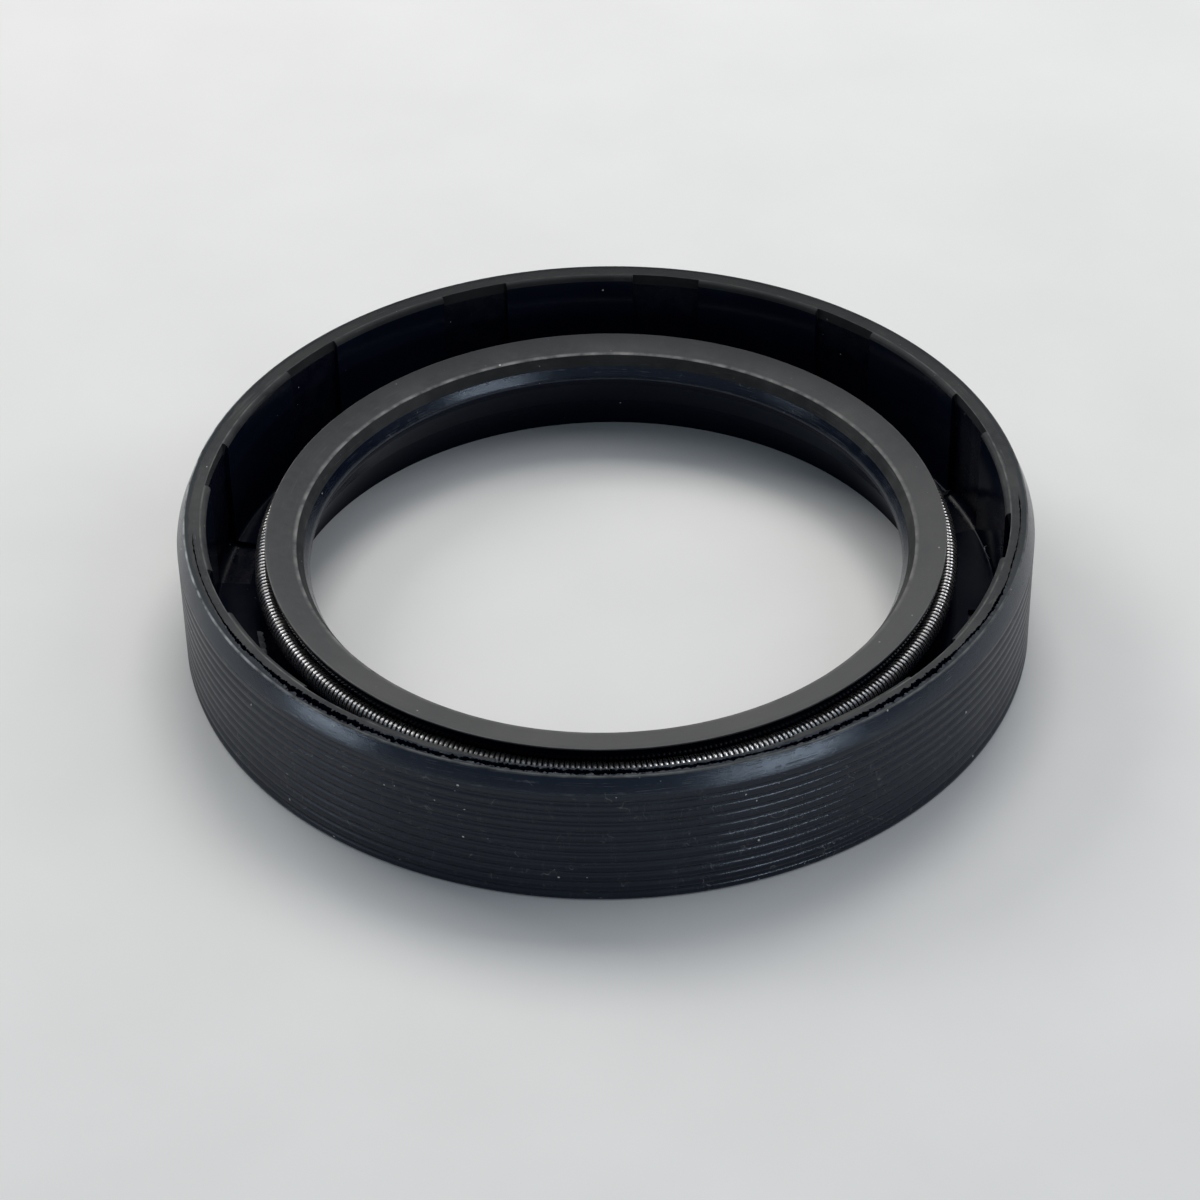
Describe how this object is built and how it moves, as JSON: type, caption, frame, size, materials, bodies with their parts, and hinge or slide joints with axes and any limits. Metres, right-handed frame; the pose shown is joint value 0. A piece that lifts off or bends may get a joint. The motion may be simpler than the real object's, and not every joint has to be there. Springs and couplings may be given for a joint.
{
  "type": "radial shaft seal",
  "caption": "Rubber-covered radial shaft seal: ribbed outside wall, steel insert inside the rubber, and a coiled garter spring behind the sealing lip.",
  "frame": {"origin": "centre of the flat back face, on the seal's axis", "axes": "+Z along the axis towards the spring side; seen in the picture, +X is to the right and +Y away from the viewer"},
  "size_m": [0.07, 0.07, 0.012],
  "materials": {
    "black_rubber": "matte to satin, moulded",
    "coated_steel": "dark brown bonding coat, matte",
    "spring_wire": "bright drawn wire"
  },
  "bodies": {
    "root": {"rubber_body": "black_rubber", "steel_insert": "coated_steel", "garter_spring": "spring_wire"}
  },
  "joints": []
}
